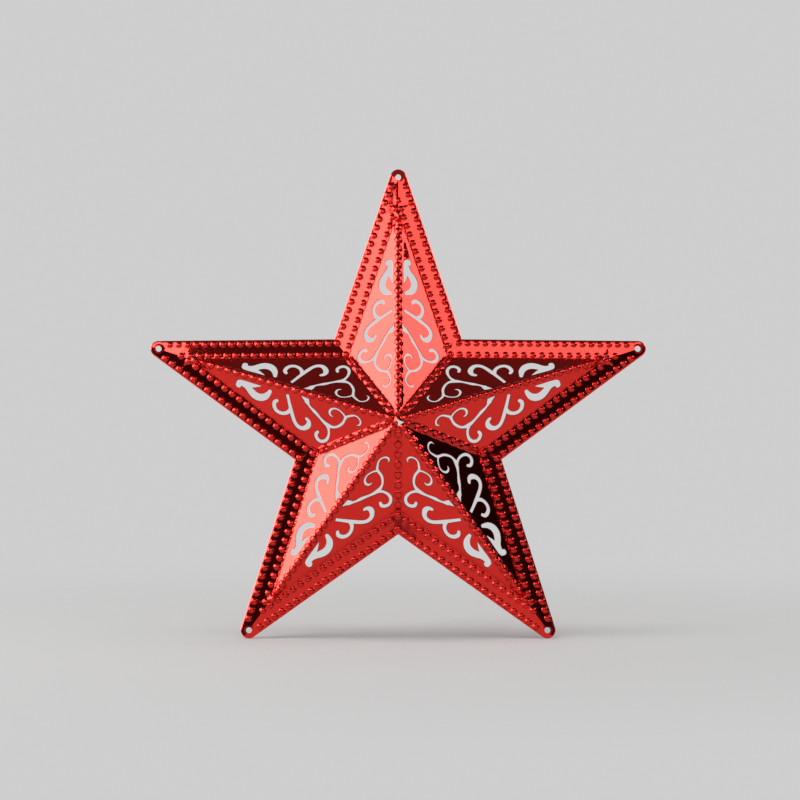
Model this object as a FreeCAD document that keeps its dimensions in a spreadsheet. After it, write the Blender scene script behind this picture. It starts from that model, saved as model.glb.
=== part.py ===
"""Five-pointed tin star ornament, pierced with scrolls and edged with rows of beads.

Five folded points of thin sheet butt along the valleys and are soldered behind. The star
stands upright and faces -Y. Its origin is on the back face at the hole that it hangs by.
"""
import FreeCAD, Part
import math
import os
import Sketcher

from FreeCAD import Placement, Rotation, Vector

# Driving dimensions, in millimetres
DIMENSIONS = [
    ("star_points", 5, "number of points"),
    ("tip_radius", 168.8, "centre to the sharp corner of a tip, before it is rounded"),
    ("crotch_radius", 65.9, "centre to the outer corner between two points"),
    ("band_width", 12.3, "flat border between the outline and the inner crease"),
    ("band_rise", 1.6, "how far the border rises from the outline to the crease"),
    ("apex_rise", 32.0, "how far the pyramid rises from the crease to the middle"),
    ("gauge", 0.5, "thickness of the tin sheet"),
    ("tip_corner", 4.9, "radius of each rounded tip, which is centred on its hole"),
    ("hole_radius", 1.85, "radius of the hole in each tip"),
    ("collar_width", 1.1, "width of the pressed collar round a tip hole"),
    ("collar_rise", 0.4, "how far the collar stands above the sheet"),
    ("middle_gap", 2.4, "radius of the gap where the five points meet"),
    ("bead_radius", 2.1, "radius of a pressed bead"),
    ("bead_rise", 1.1, "height of a bead above the sheet or fold that it sits on"),
    ("bead_skirt", 2.4, "depth of the wall under a bead that straddles a fold"),
    ("bead_pitch", 5.45, "distance between beads along a row, before it is evened out"),
    ("outer_row_inset", 2.5, "outline to the middle of the outer row"),
    ("inner_row_inset", 9.5, "outline to the middle of the inner row"),
    ("first_bead_distance", 7.2, "middle of a tip hole to the first bead of an outer row"),
    ("ridge_row_end", 5.4, "middle of the star to the last bead on a ridge"),
    ("valley_row_end", 8.5, "middle of the star to the last bead in a valley"),
    ("solder_radius", 1.3, "radius of the solder run behind a valley"),
    ("solder_start", 6.0, "centre of the star to the inner end of a solder run"),
    ("solder_end_margin", 3.0, "outer corner between two points to the end of the run"),
    ("outline_fit", 0.05, "how closely the arcs of a scroll follow its drawn outline"),
    ("cut_overrun", 2.0, "how far a cutting tool runs past the sheet"),
]

# Sizes that follow from the driving ones
LAYOUT = [
    ("half_turn", "180 / dims.star_points"),
    ("edge_length", "sqrt(dims.tip_radius ^ 2 + dims.crotch_radius ^ 2"
                    " - 2 * dims.tip_radius * dims.crotch_radius * cos(half_turn * 1 deg))"),
    ("edge_distance", "dims.tip_radius * dims.crotch_radius * sin(half_turn * 1 deg) / edge_length"),
    ("edge_turn", "acos(edge_distance / dims.tip_radius) / 1 deg"),
    ("tip_ratio", "dims.tip_radius / edge_distance"),
    ("crotch_ratio", "dims.crotch_radius / edge_distance"),
    ("tip_centre", "dims.tip_radius - dims.tip_corner * tip_ratio"),
    ("crease_distance", "edge_distance - dims.band_width"),
    ("band_slope", "dims.band_rise / dims.band_width"),
    ("facet_slope", "dims.apex_rise / crease_distance"),
    ("band_depth", "dims.gauge * sqrt(1 + band_slope ^ 2)"),
    ("facet_depth", "dims.gauge * sqrt(1 + facet_slope ^ 2)"),
    ("crease_level", "band_depth + dims.band_rise"),
    ("apex_level", "crease_level + dims.apex_rise"),
    ("fold_shift", "(facet_depth - band_depth) / (facet_slope - band_slope)"),
    ("back_crease_distance", "crease_distance - fold_shift"),
    ("back_crease_level", "dims.band_rise + band_slope * fold_shift"),
    ("trim_distance", "dims.middle_gap / tip_ratio / 2"),
    ("trim_level", "apex_level - facet_slope * trim_distance"),
    ("clear_level", "apex_level + dims.cut_overrun + dims.bead_rise"),
    ("seam_start_level", "apex_level - facet_depth - facet_slope * dims.solder_start / crotch_ratio"),
    ("seam_bend_distance", "back_crease_distance * crotch_ratio"),
    ("seam_end_distance", "dims.crotch_radius - dims.solder_end_margin"),
    ("seam_end_level", "(edge_distance - seam_end_distance / crotch_ratio) * band_slope"),
    ("seam_facet_run", "seam_bend_distance - dims.solder_start"),
    ("seam_facet_drop", "seam_start_level - back_crease_level"),
    ("seam_band_run", "seam_end_distance - seam_bend_distance"),
    ("seam_band_drop", "back_crease_level - seam_end_level"),
]

# Each stroke of a scroll is a list of stations: share of the ridge from the middle of the
# star, share of the facet's reach from the ridge to the valley corner, and width as a share
# of the ridge.
TIP_LEAF_SHARES = {
    "body": [(0.621, 0.165, 0.017), (0.635, 0.260, 0.028), (0.660, 0.325, 0.037),
             (0.690, 0.322, 0.040), (0.716, 0.256, 0.036), (0.742, 0.190, 0.030),
             (0.772, 0.170, 0.028)],
    "barb": [(0.670, 0.122, 0.005), (0.688, 0.138, 0.014), (0.706, 0.152, 0.022),
             (0.735, 0.160, 0.028), (0.766, 0.165, 0.030)],
    "head": [(0.768, 0.165, 0.024), (0.775, 0.200, 0.028), (0.777, 0.225, 0.026)],
}
MIDDLE_SCROLL_SHARES = {
    "stem": [(0.538, 0.130, 0.015), (0.527, 0.238, 0.016), (0.516, 0.347, 0.018),
             (0.504, 0.457, 0.020), (0.491, 0.560, 0.019), (0.474, 0.640, 0.020),
             (0.452, 0.670, 0.022), (0.430, 0.636, 0.024), (0.418, 0.567, 0.024),
             (0.421, 0.505, 0.019), (0.432, 0.472, 0.012)],
    "branch": [(0.513, 0.375, 0.019), (0.524, 0.450, 0.018), (0.541, 0.492, 0.018),
               (0.562, 0.504, 0.019), (0.582, 0.475, 0.020), (0.594, 0.398, 0.020),
               (0.592, 0.330, 0.017), (0.583, 0.295, 0.012)],
}
ROOT_SCROLL_SHARES = {
    "stem": [(0.452, 0.112, 0.034), (0.434, 0.190, 0.019), (0.420, 0.245, 0.012),
             (0.402, 0.290, 0.017), (0.382, 0.345, 0.015), (0.357, 0.417, 0.014),
             (0.328, 0.475, 0.021), (0.297, 0.480, 0.013), (0.270, 0.415, 0.012),
             (0.254, 0.320, 0.011), (0.247, 0.240, 0.012), (0.228, 0.190, 0.011),
             (0.206, 0.160, 0.009), (0.186, 0.185, 0.009), (0.175, 0.250, 0.009),
             (0.180, 0.310, 0.007), (0.190, 0.325, 0.004)],
    "lower curl": [(0.330, 0.480, 0.019), (0.320, 0.560, 0.013), (0.317, 0.650, 0.012),
                   (0.323, 0.735, 0.014), (0.337, 0.790, 0.016), (0.355, 0.803, 0.018),
                   (0.371, 0.765, 0.018), (0.377, 0.695, 0.015), (0.369, 0.640, 0.009)],
    "upper curl": [(0.247, 0.262, 0.011), (0.257, 0.208, 0.010), (0.273, 0.163, 0.009),
                   (0.297, 0.134, 0.009), (0.318, 0.160, 0.010), (0.327, 0.218, 0.011),
                   (0.321, 0.278, 0.010), (0.311, 0.292, 0.006)],
}
SCROLLS = {
    "tip_leaf": TIP_LEAF_SHARES,
    "middle_scroll": MIDDLE_SCROLL_SHARES,
    "root_scroll": ROOT_SCROLL_SHARES,
}

BEAD_SIDES = 6

POINT_NAMES = ["top", "right", "lower_right", "lower_left", "left"]
SEAM_NAMES = ["upper_right", "right", "bottom", "left", "upper_left"]


def fill_sheet(doc, name, rows, is_formula):
    """A sheet with one alias a row; formulas may use the aliases above them."""
    sheet = doc.addObject("Spreadsheet::Sheet", name)
    for number, row in enumerate(rows, start=1):
        sheet.set(f"A{number}", row[0])
        sheet.set(f"B{number}", f"={row[1]}" if is_formula else str(row[1]))
        sheet.setAlias(f"B{number}", row[0])
        if len(row) > 2:
            sheet.set(f"C{number}", row[2])
    doc.recompute()
    return sheet


def origin_plane(body, role):
    return next(f for f in body.Origin.OriginFeatures if f.Role == role)


def attached_sketch(body, name, role, turn="0", lift="0"):
    """A sketch on an origin plane, turned about its first axis and lifted along its normal."""
    sketch = body.newObject("Sketcher::SketchObject", name)
    sketch.AttachmentSupport = [(origin_plane(body, role), "")]
    sketch.MapMode = "FlatFace"
    sketch.AttachmentOffset = Placement(Vector(), Rotation(Vector(1, 0, 0), 1))
    sketch.setExpression("AttachmentOffset.Rotation.Angle", turn)
    sketch.setExpression("AttachmentOffset.Base.z", lift)
    return sketch


def bound_corner(sketch, edge, across, up):
    """Ties the start of an edge to two coordinates given as expressions."""
    for kind, expression in (("DistanceX", across), ("DistanceY", up)):
        value = float(sketch.evalExpression(expression))
        row = sketch.addConstraint(Sketcher.Constraint(kind, -1, 1, edge, 1, value))
        sketch.setExpression(f"Constraints[{row}]", expression)


def polygon(sketch, corners):
    """A closed outline whose corners are pairs of expressions."""
    places = [Vector(float(sketch.evalExpression(a)), float(sketch.evalExpression(b)), 0)
              for a, b in corners]
    edges = [sketch.addGeometry(Part.LineSegment(places[i], places[(i + 1) % len(places)]))
             for i in range(len(places))]
    for i, edge in enumerate(edges):
        sketch.addConstraint(Sketcher.Constraint("Coincident", edge, 2, edges[(i + 1) % len(edges)], 1))
    for edge, (across, up) in zip(edges, corners):
        bound_corner(sketch, edge, across, up)


def bound_circle(sketch, across, up, radius):
    """A circle whose centre and radius are expressions."""
    centre = Vector(float(sketch.evalExpression(across)), float(sketch.evalExpression(up)), 0)
    size = float(sketch.evalExpression(radius))
    circle = sketch.addGeometry(Part.Circle(centre, Vector(0, 0, 1), size))
    for kind, expression in (("DistanceX", across), ("DistanceY", up)):
        value = float(sketch.evalExpression(expression))
        row = sketch.addConstraint(Sketcher.Constraint(kind, -1, 1, circle, 3, value))
        sketch.setExpression(f"Constraints[{row}]", expression)
    row = sketch.addConstraint(Sketcher.Constraint("Radius", circle, size))
    sketch.setExpression(f"Constraints[{row}]", radius)


def folded_body(doc, name, section):
    """One point of the star: a section run along the outline, mitred at ridge and valley.

    The section is a list of distances from the star's axis, square to an edge of the
    outline, with their levels in front of the back plane.
    """
    body = doc.addObject("PartDesign::Body", name)
    profile = attached_sketch(body, f"{name}_section", "YZ_Plane", "layout.edge_turn")
    polygon(profile, [(f"-({level})", distance) for distance, level in section])
    doc.recompute()
    run = body.newObject("PartDesign::Pad", f"{name}_run")
    run.Profile = profile
    run.SideType = "Symmetric"
    run.setExpression("Length", "2 * dims.tip_radius + 2 * dims.crotch_radius")
    body.Tip = run
    doc.recompute()

    far = "(2 * dims.tip_radius)"
    mitre = attached_sketch(body, f"{name}_mitre", "XZ_Plane", "0", "-dims.cut_overrun")
    polygon(mitre, [
        ("0", "0"),
        ("0", far),
        (f"-{far}", far),
        (f"-{far}", f"-{far}"),
        (far, f"-{far}"),
        (far, f"{far} / tan(layout.half_turn * 1 deg)"),
    ])
    doc.recompute()
    pocket_through(doc, body, mitre, f"{name}_half")
    whole = body.newObject("PartDesign::Mirrored", f"{name}_whole")
    whole.TransformMode = "Whole shape"
    whole.MirrorPlane = (origin_plane(body, "YZ_Plane"), [""])
    body.Tip = whole
    doc.recompute()
    return body


def pocket_through(doc, body, sketch, name):
    """Cuts a sketch on the back plane right through the body."""
    before = body.Shape.Volume
    cut = body.newObject("PartDesign::Pocket", name)
    cut.Profile = sketch
    cut.Type = "ThroughAll"
    cut.Reversed = True
    body.Tip = cut
    doc.recompute()
    if not body.Shape.Volume < before:
        raise RuntimeError(f"{name} cut nothing")


def make_blank(doc):
    """The folded sheet of one point, with its rounded tip, hole and collar, before piercing."""
    body = folded_body(doc, "point_blank", [
        ("layout.edge_distance", "layout.band_depth"),
        ("layout.crease_distance", "layout.crease_level"),
        ("layout.trim_distance", "layout.trim_level"),
        ("layout.trim_distance", "layout.trim_level - layout.facet_depth"),
        ("layout.back_crease_distance", "layout.back_crease_level"),
        ("layout.edge_distance", "0"),
    ])
    behind = "-dims.cut_overrun"

    corner = attached_sketch(body, "tip_corner_cut", "XZ_Plane", "0", behind)
    half_angle = "asin(layout.edge_distance / dims.tip_radius)"
    radius = "dims.tip_corner"
    middle = "layout.tip_centre"
    side = f"{radius} * cos({half_angle})"
    shoulder = f"({middle} + {radius} * sin({half_angle}))"
    outside = f"({side} + dims.cut_overrun)"
    beyond = "(dims.tip_radius + dims.cut_overrun)"

    def number(text):
        return float(corner.evalExpression(text))

    left, right = Vector(-number(side), number(shoulder)), Vector(number(side), number(shoulder))
    top = Vector(0, number(middle) + number(radius))
    places = [right, Vector(number(outside), number(shoulder)), Vector(number(outside), number(beyond)),
              Vector(-number(outside), number(beyond)), Vector(-number(outside), number(shoulder)), left]
    arc = corner.addGeometry(Part.Arc(right, top, left))
    lines = [corner.addGeometry(Part.LineSegment(a, b)) for a, b in zip(places, places[1:])]
    for first, second in zip(lines, lines[1:]):
        corner.addConstraint(Sketcher.Constraint("Coincident", first, 2, second, 1))
    corner.addConstraint(Sketcher.Constraint("Coincident", arc, 1, lines[0], 1))
    corner.addConstraint(Sketcher.Constraint("Coincident", arc, 2, lines[-1], 2))
    ends = [(side, shoulder), (outside, shoulder), (outside, beyond),
            (f"-{outside}", beyond), (f"-{outside}", shoulder)]
    for line, (across, up) in zip(lines, ends):
        bound_corner(corner, line, across, up)
    for kind, expression in (("DistanceX", f"-({side})"), ("DistanceY", shoulder)):
        row = corner.addConstraint(
            Sketcher.Constraint(kind, -1, 1, lines[-1], 2, number(expression)))
        corner.setExpression(f"Constraints[{row}]", expression)
    row = corner.addConstraint(Sketcher.Constraint("Radius", arc, number(radius)))
    corner.setExpression(f"Constraints[{row}]", radius)
    doc.recompute()
    pocket_through(doc, body, corner, "tip_corner_pocket")

    sheet_level = ("(layout.band_depth + layout.band_slope"
                   " * (layout.edge_distance - layout.tip_centre / layout.tip_ratio))")
    collar = attached_sketch(body, "collar_outline", "XZ_Plane", "0", f"{sheet_level} - dims.gauge")
    bound_circle(collar, "0", "layout.tip_centre", "dims.hole_radius + dims.collar_width")
    doc.recompute()
    ring = body.newObject("PartDesign::Pad", "collar")
    ring.Profile = collar
    ring.setExpression("Length", "dims.gauge + dims.collar_rise")
    body.Tip = ring
    doc.recompute()

    for name, up, radius in (("tip_hole", "layout.tip_centre", "dims.hole_radius"),
                             ("middle_gap", "0", "dims.middle_gap")):
        sketch = attached_sketch(body, f"{name}_outline", "XZ_Plane", "0", behind)
        bound_circle(sketch, "0", up, radius)
        doc.recompute()
        pocket_through(doc, body, sketch, f"{name}_pocket")
    return body


def facet_frame(layout, dims):
    """Where a facet lies: its origin at the apex, first axis down the ridge, third outward."""
    ratio = layout.crease_distance / layout.edge_distance
    half_turn = math.radians(layout.half_turn)
    apex = Vector(0, -layout.apex_level, 0)
    tip = Vector(0, -layout.crease_level, dims.tip_radius * ratio)
    crotch = Vector(math.sin(half_turn), 0, math.cos(half_turn)) * (dims.crotch_radius * ratio)
    crotch.y = -layout.crease_level
    along = (tip - apex).normalize()
    outward = (crotch - apex).cross(along).normalize()
    if outward.y > 0:
        outward = outward * -1
    across = outward.cross(along)
    reach = (crotch - apex).dot(across)
    if reach < 0:
        across, reach = across * -1, -reach
    return apex, along, across, outward, (tip - apex).Length, abs(reach)


def stroke_face(stations, to_place, outward, fit):
    """A ribbon of changing width: two smooth sides and two rounded ends."""
    centres = [to_place(a, b) for a, b, width in stations]
    widths = [to_place.ridge * width for a, b, width in stations]
    spine = Part.BSplineCurve()
    spine.interpolate(centres)
    sides = ([], [])
    for centre, width in zip(centres, widths):
        tangent = Vector(*spine.tangent(spine.parameter(centre))[0])
        step = outward.cross(tangent).normalize() * (width / 2)
        sides[0].append(centre + step)
        sides[1].append(centre - step)
    edges = []
    for points in sides:
        curve = Part.BSplineCurve()
        curve.interpolate(points)
        edges += [arc.toShape() for arc in curve.toBiArcs(fit)]
    for end, way in ((0, -1), (-1, 1)):
        tangent = Vector(*spine.tangent(spine.parameter(centres[end]))[0]) * way
        cap = centres[end] + tangent * (widths[end] / 2)
        edges.append(Part.Arc(sides[0][end], cap, sides[1][end]).toShape())
    return Part.Face(Part.Wire(Part.__sortEdges__(edges)))


class FacetPlace:
    """Turns shares of the ridge and of the facet's reach into a place on the facet."""

    def __init__(self, frame):
        self.apex, self.along, self.across, self.outward, self.ridge, self.reach = frame

    def __call__(self, ridge_share, reach_share):
        return self.apex + self.along * (self.ridge * ridge_share) + self.across * (self.reach * reach_share)


class PointPlan:
    """Places on the front of one point, from how far they are square to and along an edge."""

    def __init__(self, dims, layout):
        self.dims, self.layout = dims, layout
        self.turn = math.radians(layout.edge_turn)
        self.valley_turn = math.radians(layout.half_turn)

    def front_level(self, distance):
        layout = self.layout
        if distance >= layout.crease_distance:
            return layout.band_depth + layout.band_slope * (layout.edge_distance - distance)
        return layout.crease_level + layout.facet_slope * (layout.crease_distance - distance)

    def by_edge(self, distance, along):
        """A place by its distance square to the edge and its run along it towards the tip."""
        return Vector(distance * math.sin(self.turn) - along * math.cos(self.turn),
                      -self.front_level(distance),
                      distance * math.cos(self.turn) + along * math.sin(self.turn))

    def on_ridge(self, distance):
        """A place on the ridge by its distance from the middle of the star."""
        return Vector(0, -self.front_level(distance / self.layout.tip_ratio), distance)

    def on_valley(self, distance):
        """A place in the valley by its distance from the middle of the star."""
        return Vector(distance * math.sin(self.valley_turn),
                      -self.front_level(distance / self.layout.crotch_ratio),
                      distance * math.cos(self.valley_turn))

    def border_row(self, inset, first=None):
        """The two ends of a row along the border: at the ridge, or by the hole, and in the valley."""
        distance = self.layout.edge_distance - inset
        start = distance * math.tan(self.turn) if first is None else first(distance)
        return self.by_edge(distance, start), self.on_valley(distance * self.layout.crotch_ratio)

    def beside_hole(self, distance):
        """Where the outer row starts along its line, clear of the collar of the tip hole."""
        across = distance - self.layout.tip_centre * math.cos(self.turn)
        reach = math.sqrt(self.dims.first_bead_distance ** 2 - across ** 2)
        return self.layout.tip_centre * math.sin(self.turn) - reach


def faceted_bead(rings, top):
    """A bead with flat sides: rings of (radius, height) from its foot up, and its peak."""
    levels = [[Vector(radius * math.cos(turn), -height, radius * math.sin(turn))
               for turn in (2 * math.pi * side / BEAD_SIDES for side in range(BEAD_SIDES))]
              for radius, height in rings]
    peak = Vector(0, -top, 0)
    corners = [levels[0][::-1]]
    for side in range(BEAD_SIDES):
        beside = (side + 1) % BEAD_SIDES
        for lower, upper in zip(levels, levels[1:]):
            corners.append([lower[side], lower[beside], upper[beside], upper[side]])
        corners.append([levels[-1][side], levels[-1][beside], peak])
    faces = [Part.Face(Part.makePolygon(corner + corner[:1])) for corner in corners]
    return Part.Solid(Part.Shell(faces))


def bead_row(doc, name, bead, ends, pitch, skip_first=False):
    """Beads at even steps from one end of a row to the other."""
    start, end = ends
    gaps = round((end - start).Length / pitch)
    row = doc.addObject("Part::Feature", name)
    row.Shape = Part.makeCompound([
        bead.translated(start + (end - start) * (number / gaps))
        for number in range(1 if skip_first else 0, gaps + 1)])
    return row


def make_beads(doc, dims, layout):
    """All beads of one point, with their feet trimmed inside the thickness of the sheet."""
    plan = PointPlan(dims, layout)
    sunk = dims.gauge
    low = faceted_bead([(dims.bead_radius * (1 + sunk / dims.bead_rise), -sunk)], dims.bead_rise)
    tall = faceted_bead([(dims.bead_radius, -dims.bead_skirt), (dims.bead_radius, 0)], dims.bead_rise)

    outer = plan.border_row(dims.outer_row_inset, plan.beside_hole)
    inner = plan.border_row(dims.inner_row_inset)
    crease_tip = plan.on_ridge(layout.crease_distance * layout.tip_ratio)
    corner = (layout.edge_distance - dims.inner_row_inset) * layout.crotch_ratio
    ridge = (crease_tip, plan.on_ridge(dims.ridge_row_end))
    valley = (plan.on_valley(corner - dims.bead_pitch), plan.on_valley(dims.valley_row_end))
    right = [
        bead_row(doc, "outer_row", low, outer, dims.bead_pitch),
        bead_row(doc, "inner_row", low, inner, dims.bead_pitch, skip_first=True),
        bead_row(doc, "valley_row", tall, valley, dims.bead_pitch),
    ]
    apex_bead = doc.addObject("Part::Feature", "inner_row_apex")
    apex_bead.Shape = low.translated(inner[0])
    rows = [apex_bead, bead_row(doc, "ridge_row", tall, ridge, dims.bead_pitch)] + right
    for row in right:
        left = doc.addObject("Part::Mirroring", f"left_{row.Name}")
        left.Source = row
        left.Base = Vector()
        left.Normal = Vector(1, 0, 0)
        rows.append(left)

    space = folded_body(doc, "ahead_of_sheet_middle", [
        ("layout.edge_distance", "layout.band_depth / 2"),
        ("layout.crease_distance", "layout.crease_level - layout.band_depth / 2"),
        ("layout.trim_distance", "layout.trim_level - layout.facet_depth / 2"),
        ("layout.trim_distance", "layout.clear_level"),
        ("layout.edge_distance", "layout.clear_level"),
    ])
    trimmed = []
    for row in rows:
        common = doc.addObject("Part::Common", f"{row.Name}_trimmed")
        common.Base = row
        common.Tool = space
        trimmed.append(common)
    doc.recompute()
    return trimmed


def make_punch(doc, dims, layout):
    """The scroll shaped tools that pierce both facets of a point, square to the sheet."""
    place = FacetPlace(facet_frame(layout, dims))
    solids = []
    for name, strokes in SCROLLS.items():
        for stroke, stations in strokes.items():
            outline = doc.addObject("Part::Feature", f"{name}_{stroke.replace(' ', '_')}")
            outline.Shape = stroke_face(stations, place, place.outward, dims.outline_fit)
            solid = doc.addObject("Part::Extrusion", f"{outline.Name}_tool")
            solid.Base = outline
            solid.DirMode = "Custom"
            solid.Dir = place.outward
            solid.Solid = True
            solid.setExpression("LengthFwd", "dims.cut_overrun")
            solid.setExpression("LengthRev", "dims.cut_overrun + dims.gauge")
            solids.append(solid)
    right = doc.addObject("Part::MultiFuse", "right_facet_punch")
    right.Shapes = solids
    left = doc.addObject("Part::Mirroring", "left_facet_punch")
    left.Source = right
    left.Base = Vector()
    left.Normal = Vector(1, 0, 0)
    punch = doc.addObject("Part::Compound", "scroll_punch")
    punch.Links = [right, left]
    doc.recompute()
    return punch


def seam_stop(doc, name, radius, distance, level):
    """A rounded end or bend of the solder run, centred on the back of the sheet."""
    knot = doc.addObject("Part::Sphere", name)
    knot.setExpression("Radius", radius)
    knot.setExpression("Placement.Base.y", f"-({level})")
    knot.setExpression("Placement.Base.z", distance)
    return knot


def seam_run(doc, name, radii, start, run, drop):
    """A tapering stretch of the solder run, laid from one stop down towards the next."""
    stretch = doc.addObject("Part::Cone", name)
    stretch.Placement = Placement(Vector(), Rotation(Vector(-1, 0, 0), 1))
    stretch.setExpression("Radius1", radii[0])
    stretch.setExpression("Radius2", radii[1])
    stretch.setExpression("Height", f"sqrt(({run}) ^ 2 + ({drop}) ^ 2)")
    stretch.setExpression("Placement.Base.y", f"-({start[1]})")
    stretch.setExpression("Placement.Base.z", start[0])
    stretch.setExpression("Placement.Rotation.Angle", f"atan(({drop}) / ({run}))")
    return stretch


def make_seam(doc):
    """A run of solder along the back of a valley, with the valley pointing up."""
    inner = ("dims.solder_start", "layout.seam_start_level")
    bend = ("layout.seam_bend_distance", "layout.back_crease_level")
    outer = ("layout.seam_end_distance", "layout.seam_end_level")
    radius = "dims.solder_radius"
    end_radius = "layout.seam_end_level"
    runs = [
        seam_run(doc, "solder_on_facet", (radius, radius), inner,
                 "layout.seam_facet_run", "layout.seam_facet_drop"),
        seam_run(doc, "solder_on_border", (radius, end_radius), bend,
                 "layout.seam_band_run", "layout.seam_band_drop"),
        seam_stop(doc, "solder_inner_end", radius, *inner),
        seam_stop(doc, "solder_bend", radius, *bend),
        seam_stop(doc, "solder_outer_end", end_radius, *outer),
    ]
    whole = doc.addObject("Part::MultiFuse", "solder_whole")
    whole.Shapes = runs

    space = folded_body(doc, "ahead_of_back", [
        ("layout.edge_distance", "0"),
        ("layout.back_crease_distance", "layout.back_crease_level"),
        ("layout.trim_distance", "layout.trim_level - layout.facet_depth"),
        ("layout.trim_distance", "layout.clear_level"),
        ("layout.edge_distance", "layout.clear_level"),
    ])
    shape = whole
    for side, turn in (("left", "-layout.half_turn"), ("right", "layout.half_turn")):
        block = doc.addObject("Part::Compound", f"ahead_of_{side}_point")
        block.Links = [space]
        block.Placement = Placement(Vector(), Rotation(Vector(0, 1, 0), 1))
        block.setExpression("Placement.Rotation.Angle", turn)
        cut = doc.addObject("Part::Cut", f"solder_seam_cut_{side}")
        cut.Base = shape
        cut.Tool = block
        shape = cut
    doc.recompute()
    return shape


def add_copies(doc, master, prefix, names, first_turn):
    """One node for each turn of a master shape about the star's axis."""
    nodes = []
    for number, name in enumerate(names):
        node = doc.addObject("Part::Compound", f"{prefix}_{name}")
        node.Label = f"{prefix}_{name}"
        node.Links = [master]
        node.Placement = Placement(Vector(), Rotation(Vector(0, 1, 0), 1))
        node.setExpression("Placement.Rotation.Angle",
                           f"{first_turn} + {number} * 2 * layout.half_turn")
        node.setExpression("Placement.Base.z", "-layout.tip_centre")
        nodes.append(node)
    return nodes


def check(doc, nodes):
    for item in doc.Objects:
        if "Invalid" in item.State or "Error" in item.State:
            raise RuntimeError(f"{item.Name} is {item.State}")
    for node in nodes:
        shape = node.Shape
        if shape.isNull() or not shape.isValid() or shape.Volume <= 0:
            raise RuntimeError(f"{node.Label} has no valid shape")


def main():
    doc = FreeCAD.newDocument("tin_star")
    dims = fill_sheet(doc, "dims", DIMENSIONS, False)
    layout = fill_sheet(doc, "layout", LAYOUT, True)

    pressed = doc.addObject("Part::MultiFuse", "pressed_point")
    pressed.Shapes = [make_blank(doc)] + make_beads(doc, dims, layout)
    point = doc.addObject("Part::Cut", "pierced_point")
    point.Base = pressed
    point.Tool = make_punch(doc, dims, layout)
    doc.recompute()
    seam = make_seam(doc)

    nodes = add_copies(doc, point, "star_point", POINT_NAMES, "0")
    nodes += add_copies(doc, seam, "solder_seam", SEAM_NAMES, "layout.half_turn")
    doc.recompute()
    check(doc, nodes)

    os.makedirs("parts", exist_ok=True)
    for node in nodes:
        node.Shape.exportStep(f"parts/{node.Label}.step")
        box = node.Shape.BoundBox
        print(node.Label, len(node.Shape.Solids), "solids", round(node.Shape.Volume, 1), "mm3",
              [round(v, 2) for v in (box.XMin, box.YMin, box.ZMin, box.XMax, box.YMax, box.ZMax)])


main()
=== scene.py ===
"""Dresses the pierced tin star: pressed points, solder behind the valleys, and a pale studio.

Lengths are metres in the CAD's frame, with the front of the star towards -Y.
"""

import math

import bpy
import bmesh
import numpy as np
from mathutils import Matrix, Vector
from mathutils.geometry import delaunay_2d_cdt
from mathutils.kdtree import KDTree


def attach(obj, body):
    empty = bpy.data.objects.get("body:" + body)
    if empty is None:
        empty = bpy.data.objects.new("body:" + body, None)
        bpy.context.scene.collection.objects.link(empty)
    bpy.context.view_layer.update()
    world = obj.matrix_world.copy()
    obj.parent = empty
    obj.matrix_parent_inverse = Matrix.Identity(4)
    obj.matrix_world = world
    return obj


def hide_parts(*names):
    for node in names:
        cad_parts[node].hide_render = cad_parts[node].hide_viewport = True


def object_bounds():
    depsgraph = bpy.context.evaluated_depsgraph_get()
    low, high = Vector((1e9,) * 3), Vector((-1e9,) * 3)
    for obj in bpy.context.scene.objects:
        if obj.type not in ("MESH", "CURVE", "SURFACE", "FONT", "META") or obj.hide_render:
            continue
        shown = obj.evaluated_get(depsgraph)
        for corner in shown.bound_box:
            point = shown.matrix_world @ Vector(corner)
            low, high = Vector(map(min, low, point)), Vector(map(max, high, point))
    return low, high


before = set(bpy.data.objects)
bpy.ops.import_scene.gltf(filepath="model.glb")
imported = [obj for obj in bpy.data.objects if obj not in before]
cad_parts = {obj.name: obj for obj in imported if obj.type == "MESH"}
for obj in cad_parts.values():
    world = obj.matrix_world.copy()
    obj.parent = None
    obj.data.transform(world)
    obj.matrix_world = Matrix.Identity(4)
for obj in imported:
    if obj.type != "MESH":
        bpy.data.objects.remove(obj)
CAD_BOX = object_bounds()

bl_info = {
    "name": "Pierced Tin Star",
    "version": (1, 0, 0),
    "blender": (4, 5, 0),
    "location": "View3D > Sidebar > Tin Star",
    "description": "Presses, pierces and solders the points of a lacquered tin star",
    "category": "Add Mesh",
}

POINTS = ["top", "right", "lower_right", "lower_left", "left"]
SEAMS = ["upper_right", "right", "bottom", "left", "upper_left"]
TURN = 2 * math.pi / len(POINTS)

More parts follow.
